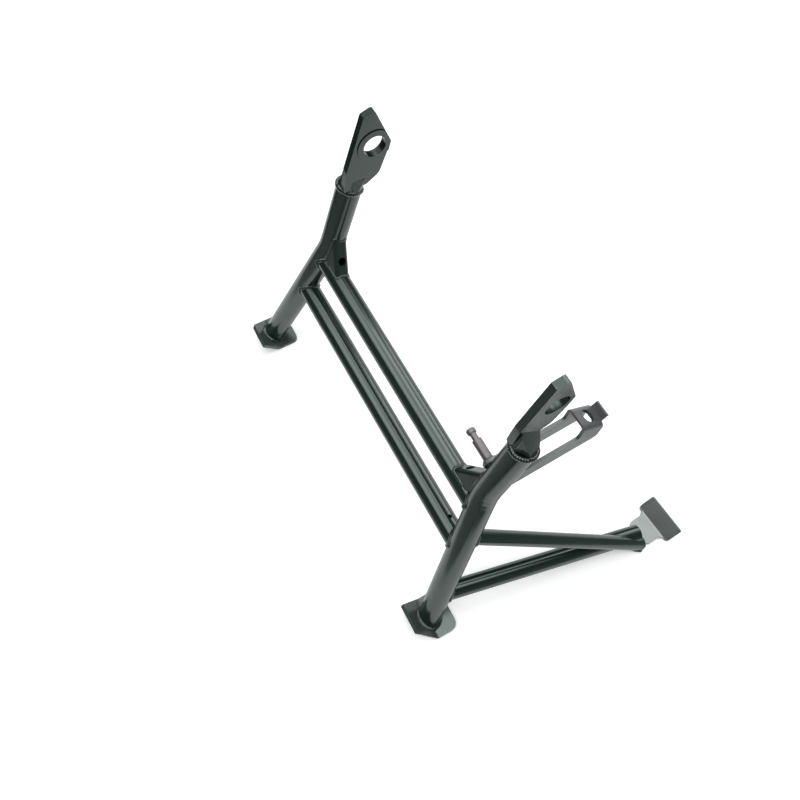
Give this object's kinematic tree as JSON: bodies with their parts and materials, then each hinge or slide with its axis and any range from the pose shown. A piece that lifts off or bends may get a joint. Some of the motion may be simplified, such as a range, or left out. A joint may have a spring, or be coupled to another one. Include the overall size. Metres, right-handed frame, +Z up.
{
  "type": "motorcycle centre stand",
  "caption": "Motorcycle centre stand of welded steel tube, with pivot lugs, folded feet, a tread lever and a buffer bracket.",
  "frame": {"origin": "on the floor, under the middle of the bounding box", "axes": "+X to the rear of the motorcycle, -Y to the side with the foot lever, +Z up"},
  "size_m": [0.3133, 0.4784, 0.3525],
  "materials": {
    "leg_coat": "gloss",
    "cross_coat": "gloss",
    "lug_coat": "satin",
    "gusset_coat": "satin",
    "foot_coat": "satin",
    "lever_coat": "gloss",
    "tread_coat": "satin",
    "bracket_coat": "satin",
    "pin_steel": "satin",
    "weld_coat": "gloss"
  },
  "bodies": {
    "root": {"left_leg": "leg_coat", "right_leg": "leg_coat", "upper_cross_tube": "cross_coat", "lower_cross_tube": "cross_coat", "left_lug": "lug_coat", "right_lug": "lug_coat", "left_gusset": "gusset_coat", "right_gusset": "gusset_coat", "left_foot": "foot_coat", "right_foot": "foot_coat", "lever_upper_tube": "lever_coat", "lever_lower_tube": "lever_coat", "tread_plate": "tread_coat", "buffer_bracket": "bracket_coat", "spring_pin": "pin_steel", "left_lug_weld": "weld_coat", "right_lug_weld": "weld_coat", "left_upper_cross_weld": "weld_coat", "right_upper_cross_weld": "weld_coat", "left_lower_cross_weld": "weld_coat", "right_lower_cross_weld": "weld_coat", "left_gusset_weld": "weld_coat", "right_gusset_weld": "weld_coat", "left_foot_weld": "weld_coat", "right_foot_weld": "weld_coat", "lever_upper_weld": "weld_coat", "lever_lower_weld": "weld_coat", "tread_weld": "weld_coat", "bracket_weld": "bracket_coat", "pin_weld": "bracket_coat"}
  },
  "joints": []
}
